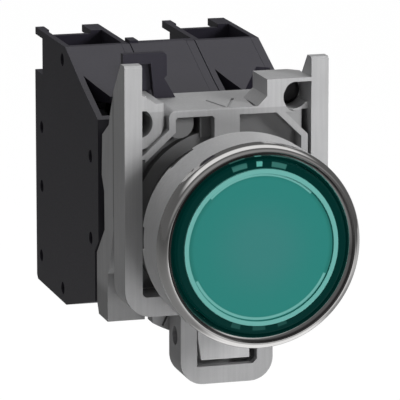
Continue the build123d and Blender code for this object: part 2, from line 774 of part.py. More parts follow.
def split_module(block, left, marks):
    """Housing with its inner cavity, and the side cover that closes it."""
    right = left + module_width
    joint = right - cover_thickness
    cover_side = box(joint, right + 1, module_front - 2, module_rear + 1, module_bottom - 1, module_top + 1)
    cover = block & cover_side
    housing = block - cover_side
    housing -= box(left + cavity_wall, right, cavity_front, cavity_rear, -cavity_half_height, cavity_half_height)
    for point in marks:
        housing -= across(left, point, peg_radius, peg_hole_depth)
    for point in peg_points:
        housing -= across(joint - peg_length - running_gap, point, peg_radius - 0.1, peg_length + running_gap)
        cover += across(joint - peg_length, point, peg_radius - 0.15, peg_length + 0.2)
    return housing, cover


def make_terminal_screws(x):
    screws = Part()
    for z in (upper_screw_z, lower_screw_z):
        head_rear = screw_seat_y + screw_head_length
        screw = tube(screw_shank_radius, 0, screw_front, screw_seat_y, x, z)
        screw += tube(screw_head_radius, 0, screw_seat_y, head_rear, x, z)
        screw -= box(x - screw_head_radius - 1, x + screw_head_radius + 1, head_rear - screw_slot_depth, head_rear + 1,
                     z - screw_slot / 2, z + screw_slot / 2)
        screws += screw
    return screws


def make_terminal_clamps(x):
    clamps = Part()
    for z in (upper_screw_z, lower_screw_z):
        rear = strip_front - seat_gap
        half = clamp_half_width - running_gap
        clamp = box(x - half, x + half, rear - clamp_thickness, rear, z - half, z + half)
        clamp -= tube(screw_shank_radius + seat_gap, 0, rear - clamp_thickness - 1, rear + 1, x, z)
        clamps += clamp
    return clamps


def make_fixed_contacts(x, rivet_x):
    """One strip for each terminal, from its screw to its contact rivet."""
    strips = Part()
    for z in (upper_screw_z, lower_screw_z):
        side = 1 if z > 0 else -1
        end = z + side * clamp_half_width * 0.85
        low = min(end, side * (rivet_z - rivet_radius - 0.3))
        high = max(end, side * (rivet_z - rivet_radius - 0.3))
        strip = box(x - strip_half_width, x + strip_half_width, strip_front, strip_rear, low, high)
        strip -= tube(screw_shank_radius + seat_gap, 0, strip_front - 1, strip_rear + 1, x, z)
        if rivet_x is not None:
            strip += tube(rivet_radius, 0, strip_front - rivet_height, strip_front + 0.1, rivet_x, side * rivet_z)
        strips += strip
    return strips


def make_plunger(x):
    nose = tube(plunger_radius, 0, stop_ring_rear + seat_gap, plunger_body_front + 0.2, x)
    body = box(x - plunger_half_width, x + plunger_half_width, plunger_body_front, plunger_body_rear,
               -plunger_half_height, plunger_half_height)
    slot_half = bridge_half_width + running_gap
    window = box(x - slot_half, x + slot_half, plunger_window_front, bridge_rear + seat_gap,
                 -plunger_half_height - 1, plunger_half_height + 1)
    return nose + body - window


def make_contact_bridge(x):
    strip = box(x - bridge_half_width, x + bridge_half_width, bridge_front, bridge_rear,
                -bridge_half_length, bridge_half_length)
    for z in (-rivet_z, rivet_z):
        strip += tube(rivet_radius, 0, bridge_rear - 0.1, bridge_rear + rivet_height, x, z)
    return strip


def make_contact_block(name, left):
    block, terminal_x = contact_block_body(left)
    housing, cover = split_module(block, left, peg_points + [top_mark])
    x = left + module_width / 2
    housing -= tube(plunger_radius + running_gap, 0, module_front, cavity_front + 1, x)
    save(name + "_housing", housing)
    save(name + "_cover", cover)
    save(name + "_terminal_screws", make_terminal_screws(terminal_x))
    save(name + "_terminal_clamps", make_terminal_clamps(terminal_x))
    save(name + "_fixed_contacts", make_fixed_contacts(terminal_x, x))
    save(name + "_plunger", make_plunger(x))
    save(name + "_contact_bridge", make_contact_bridge(x))
    spring_start = plunger_body_rear + seat_gap
    save(name + "_plunger_spring", coil(
        small_spring_radius, small_wire, plunger_spring_turns, (x, spring_start, 0),
        cavity_rear - seat_gap - spring_start, (0, 1, 0)))
    window_start = plunger_window_front + seat_gap
    save(name + "_bridge_spring", coil(
        small_spring_radius / 2, small_wire, bridge_spring_turns, (x, window_start, 0),
        bridge_front - seat_gap - window_start, (0, 1, 0)))


def make_light_module():
    left = -module_pitch / 2 + module_gap
    block, terminal_x = module_body(light_outline, left)
    block += box(left, left + ridge_tab_width, ridge_rear - 1, ridge_rear + ridge_tab_depth, notch_z, ridge_tab_top)
    housing, cover = split_module(block, left, peg_points)
    inner = lamp_tube_radius - lamp_tube_wall
    housing -= tube(lamp_tube_radius, 0, module_front - 5, cavity_front + 1)
    cover -= tube(lamp_tube_radius, 0, module_front - 5, cavity_front + 1)
    housing += tube(lamp_tube_radius, inner, lamp_tube_front, cavity_front)
    save("light_module_housing", housing)
    save("light_module_cover", cover)
    save("light_module_terminal_screws", make_terminal_screws(terminal_x))
    save("light_module_terminal_clamps", make_terminal_clamps(terminal_x))
    save("light_module_terminal_strips", make_fixed_contacts(terminal_x, None))


def make_led_lamp():
    dome = revolve(make_face(Curve() + [
        Line((0, lamp_front), (0, lamp_rear)), Line((0, lamp_rear), (lamp_radius, lamp_rear)),
        Line((lamp_radius, lamp_rear), (lamp_radius, lamp_front + lamp_radius)),
        ThreePointArc((lamp_radius, lamp_front + lamp_radius),
                      (lamp_radius * math.sin(math.pi / 4), lamp_front + lamp_radius * (1 - math.cos(math.pi / 4))),
                      (0, lamp_front)),
    ]), Axis.Y, 360)
    for z in (-lead_offset, lead_offset):
        dome += tube(lead_radius, 0, lamp_rear - 0.1, board_front, 0, z)
    return dome


def make_led_board():
    half = module_width / 2 - cavity_wall - cover_thickness
    half_height = cavity_half_height - board_room
    return box(-half, half, board_front, board_front + board_thickness, -half_height, half_height)


def make_light_module_clip():
    """Plate on the collar's ledge, with ribs behind it and an arm back to the light module."""
    rear = clip_front + clip_thickness
    low = ledge_z + seat_gap
    side = -module_pitch / 2
    bar_left = side - clip_bar_left
    leg_left = side - clip_leg_left
    leg_right = side - clip_leg_right
    web_left = side - clip_web_left
    plate = polygon([
        (bar_left, clip_bar_low), (bar_left, clip_top), (leg_right - clip_corner, clip_top),
        (leg_right, clip_top - clip_corner), (leg_right, clip_gusset_top),
        (leg_right - clip_corner, clip_gusset_top - clip_corner), (side - clip_foot_right, low),
        (side - clip_foot_left, low), (leg_left, clip_bar_low),
    ])
    clip = front_prism(plate, clip_front, rear)
    web_low = left_boss_top + running_gap
    clip += box(web_left, leg_left + 0.2, rear - 0.2, clip_web_rear, web_low, clip_bar_low)
    clip += box(web_left, leg_right, clip_web_rear - 1, clip_web_rear, web_low, clip_bar_low)
    clip += box(web_left, leg_right, rear - 0.2, clip_web_rear, clip_bar_low - 1, clip_bar_low)
    rise = (module_top - ramp_knee_z) / (ramp_top_y - ramp_knee_y)
    seat_low = ramp_knee_z + 2 * seat_gap
    seat_outline = [
        (ramp_knee_y, clip_arm_top), (clip_arm_rear - 2, clip_arm_top), (clip_arm_rear, clip_arm_rear_top),
        (clip_arm_rear, seat_low + rise * (clip_arm_rear - ramp_knee_y)), (ramp_knee_y, seat_low),
    ]
    arm_outline = [(rear - 0.2, low), (rear - 0.2, low + clip_arm_start), clip_arm_knee] + seat_outline
    clip += side_prism(arm_outline, side - clip_arm_width, side)
    clip += side_prism(seat_outline, side - clip_arm_width, side + clip_seat_width)
    return clip


# Nodes

save("head_body", make_head_body())
save("bezel_ring", make_bezel_ring())
save("panel_gasket", make_panel_gasket())
save("lens_cap", make_lens_cap())
save("legend_disc", make_legend_disc())
save("lens_carrier", make_lens_carrier())
save("carrier_o_ring", make_o_ring())
save("return_spring", make_return_spring())
save("stop_ring", make_stop_ring())
save("fixing_collar", make_fixing_collar())
save("clamp_screw", make_clamp_screw())
save("release_latch", make_release_latch())
save("latch_spring", make_latch_spring())
make_light_module()
save("light_module_clip", make_light_module_clip())
save("led_lamp", make_led_lamp())
save("led_board", make_led_board())
make_contact_block("left_block", -1.5 * module_pitch + module_gap)
make_contact_block("right_block", 0.5 * module_pitch + module_gap)
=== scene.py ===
# %% [markdown]
# # An illuminated push button, dressed for its picture
#
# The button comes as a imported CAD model: every housing, screw and spring is there, in metres,
# with the button's axis along Y. This notebook gives those solids their finishes, makes the
# polished ring and the springs again as finer meshes, and sets up the camera and the lamps.

# %% Load the frame
import json
import math

import bmesh
import bpy
from mathutils import Matrix, Vector


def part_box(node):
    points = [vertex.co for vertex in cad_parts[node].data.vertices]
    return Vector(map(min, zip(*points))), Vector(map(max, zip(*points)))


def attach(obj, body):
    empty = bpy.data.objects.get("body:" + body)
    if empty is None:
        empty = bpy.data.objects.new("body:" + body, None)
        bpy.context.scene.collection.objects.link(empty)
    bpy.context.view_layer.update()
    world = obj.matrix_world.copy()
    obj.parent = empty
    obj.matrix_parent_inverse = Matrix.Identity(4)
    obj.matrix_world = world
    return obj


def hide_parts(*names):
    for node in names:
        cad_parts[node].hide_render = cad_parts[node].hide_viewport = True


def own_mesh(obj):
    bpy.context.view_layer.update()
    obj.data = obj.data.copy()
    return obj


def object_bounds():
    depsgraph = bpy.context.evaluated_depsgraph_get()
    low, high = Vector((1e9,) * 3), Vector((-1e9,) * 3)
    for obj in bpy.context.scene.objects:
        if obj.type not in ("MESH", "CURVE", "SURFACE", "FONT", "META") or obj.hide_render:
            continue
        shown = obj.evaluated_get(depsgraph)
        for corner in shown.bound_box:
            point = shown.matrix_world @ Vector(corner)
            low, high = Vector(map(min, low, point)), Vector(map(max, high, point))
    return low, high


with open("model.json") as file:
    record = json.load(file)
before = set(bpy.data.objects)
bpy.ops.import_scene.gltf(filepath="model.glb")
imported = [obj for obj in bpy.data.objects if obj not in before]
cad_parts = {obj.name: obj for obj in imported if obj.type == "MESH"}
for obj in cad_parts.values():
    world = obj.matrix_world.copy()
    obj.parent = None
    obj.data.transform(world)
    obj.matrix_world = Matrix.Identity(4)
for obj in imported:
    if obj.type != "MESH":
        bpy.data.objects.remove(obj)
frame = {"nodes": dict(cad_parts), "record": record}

scene = bpy.context.scene
scene.view_settings.view_transform = "Standard"
MM = 0.001
cad_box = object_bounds()

# %% [markdown]
# ## The camera
#
# The picture was taken from far away with a long lens, from 16 degrees to the left of the
# button's axis and 12 degrees above it. Three directions say how the camera sits: one to its
# right, one up, and one backwards, away from the button. They are the columns of its rotation,
# so no angles have to be turned one after another. Two small slides put the button in its place
# in the picture.

# %% Camera
azimuth, elevation = math.radians(16.2), math.radians(12.31)
to_right = Vector((math.cos(azimuth), -math.sin(azimuth), 0))
flat_part = math.sin(elevation)
to_top = Vector((math.sin(azimuth) * flat_part, math.cos(azimuth) * flat_part, math.cos(elevation)))
to_back = to_right.cross(to_top)
distance, slide_right, slide_up = 567.716 * MM, 3.845 * MM, -3.163 * MM
sensor_width, focal_length = 36, 360

lens = bpy.data.cameras.new("camera")
lens.sensor_width = sensor_width
lens.lens = focal_length
camera = bpy.data.objects.new("camera", lens)
scene.collection.objects.link(camera)
turn = Matrix((to_right, to_top, to_back)).transposed().to_4x4()
stand = to_back * distance - to_right * slide_right - to_top * slide_up
camera.matrix_world = Matrix.Translation(stand) @ turn
scene.camera = camera
print("camera at", [round(v, 4) for v in camera.matrix_world.translation])

# %% [markdown]
# ## Node trees as plain sums
#
# A node tree is easier to read as `0.4 + 0.1 * noise` than as a row of nodes. `Wire` wraps one
# socket, and each sign between wires adds a Math node. `Tree` makes every other node through
# one method, so the same two classes serve the finishes, the world and the geometry nodes.


# %% Wires
class Wire:
    """A value on a node's output socket."""

    def __init__(self, tree, socket):
        self.tree = tree
        self.socket = socket

    def __add__(self, other):
        return self.tree.maths("ADD", self, other)

    def __radd__(self, other):
        return self.tree.maths("ADD", other, self)

    def __sub__(self, other):
        return self.tree.maths("SUBTRACT", self, other)

    def __rsub__(self, other):
        return self.tree.maths("SUBTRACT", other, self)

    def __mul__(self, other):
        return self.tree.maths("MULTIPLY", self, other)

    def __rmul__(self, other):
        return self.tree.maths("MULTIPLY", other, self)

    def __truediv__(self, other):
        return self.tree.maths("DIVIDE", self, other)


# %% Trees
class Tree:
    """A node tree that is written as sums."""

    def __init__(self, tree):
        self.tree = tree

    def node(self, kind, settings=None, inputs=None, output=0):
        made = self.tree.nodes.new(kind)
        for key, value in (settings or {}).items():
            setattr(made, key, value)
        for key, value in (inputs or {}).items():
            self.put(value, made.inputs[key])
        return Wire(self, made.outputs[output])

    def put(self, value, socket):
        """Link a wire to a socket, link a list of wires to it, or set a plain value on it."""
        if isinstance(value, list):
            for wire in value:
                self.tree.links.new(wire.socket, socket)
        elif isinstance(value, Wire):
            self.tree.links.new(value.socket, socket)
        else:
            socket.default_value = value

    def maths(self, operation, *values):
        return self.node("ShaderNodeMath", {"operation": operation}, dict(enumerate(values)))

    def step(self, value, low, high):
        """0 below low, 1 above high, and smooth between."""
        return self.node("ShaderNodeMapRange", {"interpolation_type": "SMOOTHSTEP"}, {
            "Value": value, "From Min": low, "From Max": high, "To Min": 0.0, "To Max": 1.0})

    def band(self, value, low, high, soft):
        """1 between low and high, with soft ends."""
        return self.step(value, low - soft, low + soft) * (1.0 - self.step(value, high - soft, high + soft))

    def parts(self, vector):
        """The three parts of a vector."""
        first = self.node("ShaderNodeSeparateXYZ", {}, {0: vector})
        return [Wire(self, socket) for socket in first.socket.node.outputs]

    def ray(self, kind):
        return self.node("ShaderNodeLightPath", output=kind)


# %% [markdown]
# ## World and lamps
#
# The picture is a cut-out on white. The light comes from the right and from above, so the round
# head throws its shadow down to the left, and faces that look to the left get only what the dim
# room gives them. The lamps aren't seen in reflections, where they would show as hard squares.
# What the polished ring mirrors is drawn instead: a strip of white overhead, a weak glow in
# front, and, further down, bright patches on the floor. The world is white where the camera
# looks past the button.

# %% World
world = bpy.data.worlds.new("white_room")
scene.world = world
world.use_nodes = True
room = Tree(world.node_tree)
dim, dim_mirrored = 0.215, 0.12
overhead, in_front = 0.9, 0.2
# Here y and z say which way a ray points: y back, z up.
_, y, z = room.parts(room.node("ShaderNodeTexCoord", output="Generated"))
above = room.band(y, -0.12, 0.65, 0.08) * room.step(z, 0.5, 0.8)
ahead = room.step(y * -1.0, 0.3, 0.8) * room.step(z, 0.0, 0.2)
mirrored = room.ray("Is Glossy Ray")
shiny = mirrored * (overhead * above + in_front * ahead)
least = dim - (dim - dim_mirrored) * mirrored
past = room.maths("MAXIMUM", room.ray("Is Camera Ray"), room.ray("Is Transmission Ray"))
background = world.node_tree.nodes["Background"]
background.inputs["Color"].default_value = (1, 1, 1, 1)
room.put(least + (1.0 - least) * room.maths("MAXIMUM", past, shiny), background.inputs["Strength"])
print("the room lights the button with", dim, "of full white, and mirrors with", dim_mirrored)


# %% Lamps
def lamp(name, place, aim, size, watts):
    """A square soft lamp at a place, turned towards a point, with all lengths in millimetres."""
    light = bpy.data.lights.new(name, "AREA")
    light.shape = "SQUARE"
    light.size = size * MM
    light.energy = watts
    item = bpy.data.objects.new(name, light)
    item.visible_glossy = False
    scene.collection.objects.link(item)
    place, aim = Vector(place) * MM, Vector(aim) * MM
    facing = (place - aim).to_track_quat("Z", "Y").to_matrix().to_4x4()
    item.matrix_world = Matrix.Translation(place) @ facing


middle = (0, 15, 0)
lamp("front_lamp", place=(90, -582, -60), aim=middle, size=160, watts=1.05)
lamp("right_lamp", place=(310, -455, 200), aim=middle, size=160, watts=2.35)
lamp("top_lamp", place=(60, 260, 560), aim=middle, size=450, watts=1.5)

# %% [markdown]
# ## The floor
#
# A wide sheet of paper lies well below the button. The camera sees it glow nearly white, and
# reflections see it glow only in patches below, beside and before the button. All other light
# meets grey paper, which throws little of it back up. A finish is one material: its node tree is
# written as sums too, and numbers that are the same all over are set on the shader itself.


# %% Finishes
class Finish(Tree):
    """One material. Named values given to it are set on the shader's own sockets."""

    def __init__(self, name, **constants):
        self.material = bpy.data.materials.new(name)
        self.material.use_nodes = True
        super().__init__(self.material.node_tree)
        self.shader = self.tree.nodes["Principled BSDF"]
        for key, value in constants.items():
            self.shader.inputs[key.replace("_", " ")].default_value = value

    def place(self):
        """The point on the piece, in metres, in the button's own frame."""
        return self.node("ShaderNodeTexCoord", output="Object")

    def noise(self, scale, detail=2.0, roughness=0.5, vector=None):
        return self.node("ShaderNodeTexNoise", {}, {
            "Vector": vector or self.place(), "Scale": scale, "Detail": detail, "Roughness": roughness})

    def mix(self, factor, first, second):
        """Two colours mixed by a factor."""
        return self.node("ShaderNodeMix", {"data_type": "RGBA"}, {0: factor, 6: first, 7: second}, output=2)

    def bump(self, height, strength, depth):
        return self.node("ShaderNodeBump", {}, {"Height": height, "Strength": strength, "Distance": depth})

    def feed(self, **wires):
        for key, wire in wires.items():
            self.put(wire, self.shader.inputs[key.replace("_", " ")])
        return self.material


# %% Floor sheet
floor_mesh = bpy.data.meshes.new("floor")
reach, gap_below = 3.0, 125 * MM
floor_z = cad_box[0][2] - gap_below
corners = [(-reach, -reach, floor_z), (reach, -reach, floor_z),
           (reach, reach, floor_z), (-reach, reach, floor_z)]
floor_mesh.from_pydata(corners, [], [(0, 1, 2, 3)])
floor = bpy.data.objects.new("floor", floor_mesh)
scene.collection.objects.link(floor)
print("floor at", round(floor_z / MM, 1), "mm, and", 2 * reach, "m wide")

# %% Floor paper
paper = Finish("white_paper", Base_Color=(0.36, 0.36, 0.36, 1), Roughness=0.9)
glow_strength, glow_share = 1.19, 0.82
beside_strength, before_strength = 0.4, 0.35
glow = paper.node("ShaderNodeEmission", {}, {"Strength": glow_strength})
own = Wire(paper, paper.shader.outputs[0])
x, y, _ = paper.parts(paper.place())
below = paper.band(x, -0.03, 0.14, 0.03) * paper.band(y, -0.14, 0.14, 0.03)
beside = beside_strength * paper.band(x, 0.30, 1.2, 0.1) * paper.band(y, -0.2, 0.9, 0.06)
before = before_strength * paper.band(x, -0.05, 0.35, 0.1) * paper.band(y, -1.2, -0.2, 0.05)
patches = paper.ray("Is Glossy Ray") * (below + beside + before)
seen = paper.maths("MAXIMUM", paper.ray("Is Camera Ray"), patches)
lit = paper.node("ShaderNodeMixShader", {}, {0: glow_share * seen, 1: own, 2: glow})
paper.put(lit, paper.tree.nodes["Material Output"].inputs["Surface"])
floor_mesh.materials.append(paper.material)
print("floor finish:", paper.material.name)

# %% [markdown]
# ## Cast zinc
#
# The collar and its latch are castings with a satin coat. The metal scatters most of the
# light, so it is only partly metallic, with a fine grain in its surface and a slow drift in
# its tone where the mould was hotter, and with faint upright draw lines. Shade is painted into
# the collar's colour: the recesses behind its front and its feet are painted darker, and so, a
# little, is the front plate between the pillars. A thin painted shadow line follows the step on
# each pillar's outer side. These places follow from the point's own coordinates, which needs no
# painted picture.


# %% Screen colours
def screen(red, green, blue):
    """A colour as a screen shows it, 0 to 255, in the shader's own scale, by the usual screen curve."""
    def one(value):
        value = value / 255
        return value / 12.92 if value <= 0.04045 else ((value + 0.055) / 1.055) ** 2.4
    return (one(red), one(green), one(blue), 1)


print("a screen grey of 128 is", round(screen(128, 128, 128)[0], 3), "to a shader")


# %% Satin zinc
def painted_collar_shade(finish, color, dark):
    """The collar's colour with painted shade: darker in its recesses, on its feet and on its front plate,
    and a painted shadow line along each pillar's outer step.
    """
    x, y, z = finish.parts(finish.place())
    half_width, soft = 0.0124, 0.0001
    bottom, recess_top, plate_top = -0.0101, 0.0154, 0.0163
    between_pillars = finish.band(x, -half_width, half_width, soft)
    recess = between_pillars * finish.band(z, bottom, recess_top, soft)
    plate = between_pillars * finish.band(z, bottom, plate_top, soft)
    behind_front = finish.step(y, 0.0008, 0.0030)
    plate_share, foot_share, line_share = 0.3, 0.5, 1.1
    # Painted shade: the recesses behind the front are darker, and the front plate a little.
    color = finish.mix(recess * behind_front + plate_share * plate * (1.0 - behind_front), color, dark)
    # Painted shade on the feet, and a painted shadow line along the step on each pillar's outer side.
    foot = finish.step(z * -1.0, 0.0105, 0.0125) * finish.step(y, 0.0040, 0.0060)
    outside = finish.step(finish.maths("ABSOLUTE", x), 0.0144, 0.0146)
    step_shadow_line = outside * finish.step(z, -0.0110, -0.0090) * finish.band(y, 0.0061, 0.0067, soft)
    return finish.mix(foot_share * foot + line_share * step_shadow_line, color, dark)


def satin_zinc(name, tone, metal=0.3, sunk=False):
    finish = Finish(name, Metallic=metal, Specular_IOR_Level=0.3)
    drift = finish.noise(90.0, detail=3.0)
    grain = finish.noise(5200.0, roughness=0.6)
    upwards = finish.node("ShaderNodeMapping", {}, {"Vector": finish.place(), "Scale": (1.0, 1.0, 0.03)})
    draw_lines = finish.noise(2400.0, vector=upwards)
    spread, dark_share = 8, 0.64
    light = screen(*(v + spread for v in tone))
    dark = screen(*(v - spread for v in tone))
    tone_share = finish.step(drift * 0.5 + grain * 0.15 + draw_lines * 0.35, 0.3, 0.7)
    color = finish.mix(tone_share, dark, light)
    if sunk:
        # The collar gets painted shade in its recesses, on its feet and front plate, and a painted shadow
        # line at each pillar's step.
        color = painted_collar_shade(finish, color, screen(*(v * dark_share for v in tone)))
    rise = finish.bump(grain, strength=0.16, depth=0.00004)
    return finish.feed(Base_Color=color, Roughness=0.4 + 0.12 * grain, Normal=rise)


zinc = satin_zinc("satin_zinc", (196, 196, 197), sunk=True)
latch_zinc = satin_zinc("latch_zinc", (176, 176, 177))
flange_metal = satin_zinc("satin_flange", (212, 212, 213), metal=0.35)
print("zinc finishes:", [made.name for made in (zinc, latch_zinc, flange_metal)])

# %% [markdown]
# ## Black moulded plastic
#
# The modules are moulded in black plastic with a spark-eroded surface, which looks like very
# fine leather. A fine noise makes the bump, and the roughness follows it, while a broad one
# lets the colour drift a little. The other mouldings, the rubber and the board share this
# finish, each with its own colour.


# %% Black plastic
def moulded(name, tone, rough=0.44, grain_scale=3600.0):
    finish = Finish(name, Specular_IOR_Level=0.65)
    grain = finish.noise(grain_scale, detail=3.0, roughness=0.55)
    cloud = finish.noise(120.0)
    darker, lighter, spread = 3, 4, 0.16
    color = finish.mix(cloud, screen(*(v - darker for v in tone)), screen(*(v + lighter for v in tone)))
    rise = finish.bump(grain, strength=0.25, depth=0.00003)
    return finish.feed(Base_Color=color, Roughness=rough - spread / 2 + spread * grain, Normal=rise)


black = moulded("black_plastic", (43, 41, 50))
dark_grey = moulded("grey_plastic", (92, 92, 94))
white = moulded("white_plastic", (222, 221, 216), rough=0.4)
rubber = moulded("rubber", (26, 26, 27), rough=0.75, grain_scale=2200.0)
board_green = moulded("circuit_board", (28, 84, 48), rough=0.35)
print("moulded finishes:", [made.name for made in (black, dark_grey, white, rubber, board_green)])

# %% [markdown]
# ## Screws, springs and contacts
#
# Turned and stamped parts show brushed lines. A noise that is stretched along Y gives them, and
# they change the colour, the roughness and the bump together, as real scratches do.


# %% Bright metals
def bright_metal(name, tone, rough):
    finish = Finish(name, Metallic=1.0)
    along = finish.node("ShaderNodeMapping", {}, {"Vector": finish.place(), "Scale": (1.0, 0.08, 1.0)})
    lines = finish.noise(6000.0, vector=along)
    darker = 14
    color = finish.mix(lines, screen(*(v - darker for v in tone)), screen(*tone))
    rise = finish.bump(lines, strength=0.12, depth=0.00002)
    return finish.feed(Base_Color=color, Roughness=rough + 0.12 * lines, Normal=rise)


steel = bright_metal("zinc_plated_steel", (190, 190, 188), 0.28)
# The clamp screw's steel is painted dark, as painted shade for the deep pocket it sits in.
dark_steel = bright_metal("blackened_steel", (74, 73, 74), 0.34)
spring_steel = bright_metal("spring_steel", (170, 170, 172), 0.22)
brass = bright_metal("contact_brass", (205, 170, 105), 0.3)
print("bright metals:", [made.name for made in (steel, dark_steel, spring_steel, brass)])

# %% [markdown]
# ## The chrome ring
#
# The ring is plated and polished, so it shows the room: dark, with thin bright lines on its
# edges. A mirror has hardly a look of its own, so most of the work on it is in the world and on
# the floor. Its own colour is a light grey, with faint turning marks round the axis, and darker
# in the groove, where little light gets in.

# %% Chrome
chrome_finish = Finish("polished_chrome", Metallic=1.0)
x, _, z = chrome_finish.parts(chrome_finish.place())
from_axis = chrome_finish.maths("SQRT", x * x + z * z)
ripple_rate = 42000.0
turning_marks = chrome_finish.maths("SINE", from_axis * ripple_rate)
waves = chrome_finish.noise(260.0, detail=1.0)
groove_inner, groove_outer, shade_share = 0.01305, 0.01350, 0.8
groove_shade = shade_share * chrome_finish.band(from_axis, groove_inner, groove_outer, 0.00006)
chrome_color = chrome_finish.mix(waves, screen(214, 212, 211), screen(228, 227, 226))
chrome_color = chrome_finish.mix(groove_shade, chrome_color, screen(104, 103, 103))
chrome = chrome_finish.feed(Base_Color=chrome_color, Roughness=0.06 + 0.04 * waves + 0.01 * turning_marks)
print("groove from", round(groove_inner / MM, 2), "to", round(groove_outer / MM, 2), "mm off the axis")

# %% [markdown]
# ## The green lens
#
# The cap is translucent: its middle is an even green, a bright ring shows where the light guide
# ends, and the rim outside that is dark because nothing lies behind it. A trace of light spreads
# inside the rim, which a weak glow stands for. Radius and angle round the axis, worked out from
# the point on the cap, draw the rings, the two arcs and the marks at the top and bottom. Clear
# glass with all of this behind it would be noisier and slower. The small lamp behind the cap
# gets a paler green.

# %% Lens coordinates
cap = Finish("green_lens", Specular_IOR_Level=0.05, Emission_Strength=1.0)
x, _, z = cap.parts(cap.place())
across, upright = x / MM, z / MM


def around(aside, up):
    """Radius in millimetres and angle from the top, round a point near the lens's middle."""
    sideways, height = across - aside, upright - up
    turned = cap.maths("ABSOLUTE", cap.maths("ARCTAN2", sideways, height)) * (180 / math.pi)
    return cap.maths("SQRT", sideways * sideways + height * height), turned


radius = cap.maths("SQRT", across * across + upright * upright)
arc_radius, arc_angle = around(-0.05, 0.1)
mark_radius, mark_angle = around(-0.32, 0.2)
print("lens coordinates: one radius from the axis, and two pairs of a radius and an angle")

# %% Lens rings
ring_inner, ring_outer, crisp = 10.46, 11.12, 0.06
bright = screen(104, 168, 161)
face = cap.mix(cap.step(radius, 1.5, 9.0), screen(55, 122, 118), screen(43, 123, 116))
face = cap.mix(cap.step(radius, 9.6, 10.3), face, screen(38, 112, 104))
arc = cap.band(arc_radius, 10.0, 10.36, crisp)
near_top = 1.0 - cap.step(arc_angle, 44.5, 45.5)
near_bottom = cap.step(arc_angle, 114.5, 115.5)
face = cap.mix(arc * (near_top + near_bottom), face, bright)
face = cap.mix(cap.band(radius, ring_inner, ring_outer, crisp), face, bright)
rim = cap.step(radius, 11.08, 11.2)
face = cap.mix(rim, face, screen(0, 22, 20))
inner_glow = cap.mix(rim, screen(0, 0, 0), screen(0, 35, 32))
print("bright ring from", ring_inner, "to", ring_outer, "mm off the axis")

# %% Lens marks
side_share, low_share = 0.35, 0.12
marks = cap.band(mark_radius, 11.25, 11.95, 0.08)
top_mark = 1.0 - cap.step(mark_angle, 1.8, 2.4)
side_mark = cap.band(mark_angle, 8.8, 19.4, 0.4)
low_mark = cap.band(mark_angle, 160.0, 166.5, 0.4) + cap.step(mark_angle, 175.0, 176.0)
mark_share = marks * (top_mark + side_share * side_mark + low_share * low_mark)
face = cap.mix(mark_share, face, screen(88, 160, 150))
gloss = 0.1 + 0.05 * cap.noise(300.0)
green_lens = cap.feed(Base_Color=face, Roughness=gloss, Emission_Color=inner_glow)
print("lens finish:", len(cap.tree.nodes), "nodes")

# %% Lamp behind the lens
bulb = Finish("green_led", Roughness=0.15, Coat_Weight=0.3)
led = bulb.feed(Base_Color=bulb.mix(bulb.noise(400.0), screen(120, 205, 170), screen(160, 225, 195)))
print("lamp finish:", led.name)

# %% [markdown]
# ## Dressing the CAD solids
#
# A CAD solid arrives as loose triangles with knife-sharp edges. A copy of it has its corners
# merged and its flat faces joined. Then the sharp edges of nearly every piece get a small round,
# which is what catches the light on a real moulding. Bevel finds those edges by their angle, so
# none has to be picked by hand. The copy stands for the node and rides on its body.


# %% Rounded copies
bodies = {node: body for body, nodes in frame["record"]["behaviour"]["bodies"].items() for node in nodes}
weld_distance, flat_angle, sharp_angle = 2e-6, math.radians(0.4), math.radians(32)


def dress(node, material, edge):
    """A finished copy of a node, with its edges rounded by a radius in millimetres, or 0 for none."""
    mesh = bpy.data.meshes.new_from_object(frame["nodes"][node])
    work = bmesh.new()
    work.from_mesh(mesh)
    bmesh.ops.remove_doubles(work, verts=work.verts, dist=weld_distance)
    bmesh.ops.dissolve_limit(work, angle_limit=flat_angle, verts=work.verts, edges=work.edges)
    work.to_mesh(mesh)
    work.free()
    mesh.materials.clear()
    mesh.materials.append(material)
    piece = bpy.data.objects.new(node + "_finish", mesh)
    scene.collection.objects.link(piece)
    mesh.shade_smooth()
    mesh.set_sharp_from_angle(angle=sharp_angle)
    if edge:
        round_edges = piece.modifiers.new("round_edges", "BEVEL")
        round_edges.width = edge * MM
        round_edges.segments = 2
        round_edges.limit_method = "ANGLE"
        round_edges.angle_limit = sharp_angle
        round_edges.use_clamp_overlap = True
        round_edges.harden_normals = True
        even = piece.modifiers.new("even_normals", "WEIGHTED_NORMAL")
        even.keep_sharp = True
        rounded = piece.evaluated_get(bpy.context.evaluated_depsgraph_get())
        plain = bpy.data.meshes.new_from_object(rounded)
        piece.modifiers.clear()
        piece.data = plain
    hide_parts(node)
    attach(piece, bodies[node])


# %% The look of each node
looks = {
    "fixing_collar": (zinc, 0.12),
    "release_latch": (latch_zinc, 0.12),
    "head_body": (flange_metal, 0.06),
    "panel_gasket": (rubber, 0.05),
    "lens_cap": (green_lens, 0.04),
    "legend_disc": (white, 0),
    "lens_carrier": (white, 0),
    "carrier_o_ring": (rubber, 0),
    "stop_ring": (steel, 0.04),
    # The clamp screw's dark steel is painted shade of its pocket.
    "clamp_screw": (dark_steel, 0.05),
    "led_lamp": (led, 0),
    "led_board": (board_green, 0.03),
    "light_module_clip": (black, 0.08),
    "light_module_terminal_strips": (brass, 0.03),
}
for module in ("left_block", "right_block", "light_module"):
    looks[module + "_housing"] = (black, 0.08)
    looks[module + "_cover"] = (black, 0.08)
    looks[module + "_terminal_screws"] = (steel, 0.05)
    looks[module + "_terminal_clamps"] = (steel, 0.05)
for block in ("left_block", "right_block"):
    looks[block + "_plunger"] = (dark_grey, 0.05)
    looks[block + "_contact_bridge"] = (brass, 0.03)
    looks[block + "_fixed_contacts"] = (brass, 0.03)
for node, (material, edge) in looks.items():
    dress(node, material, edge)
print("dressed nodes:", len(looks))

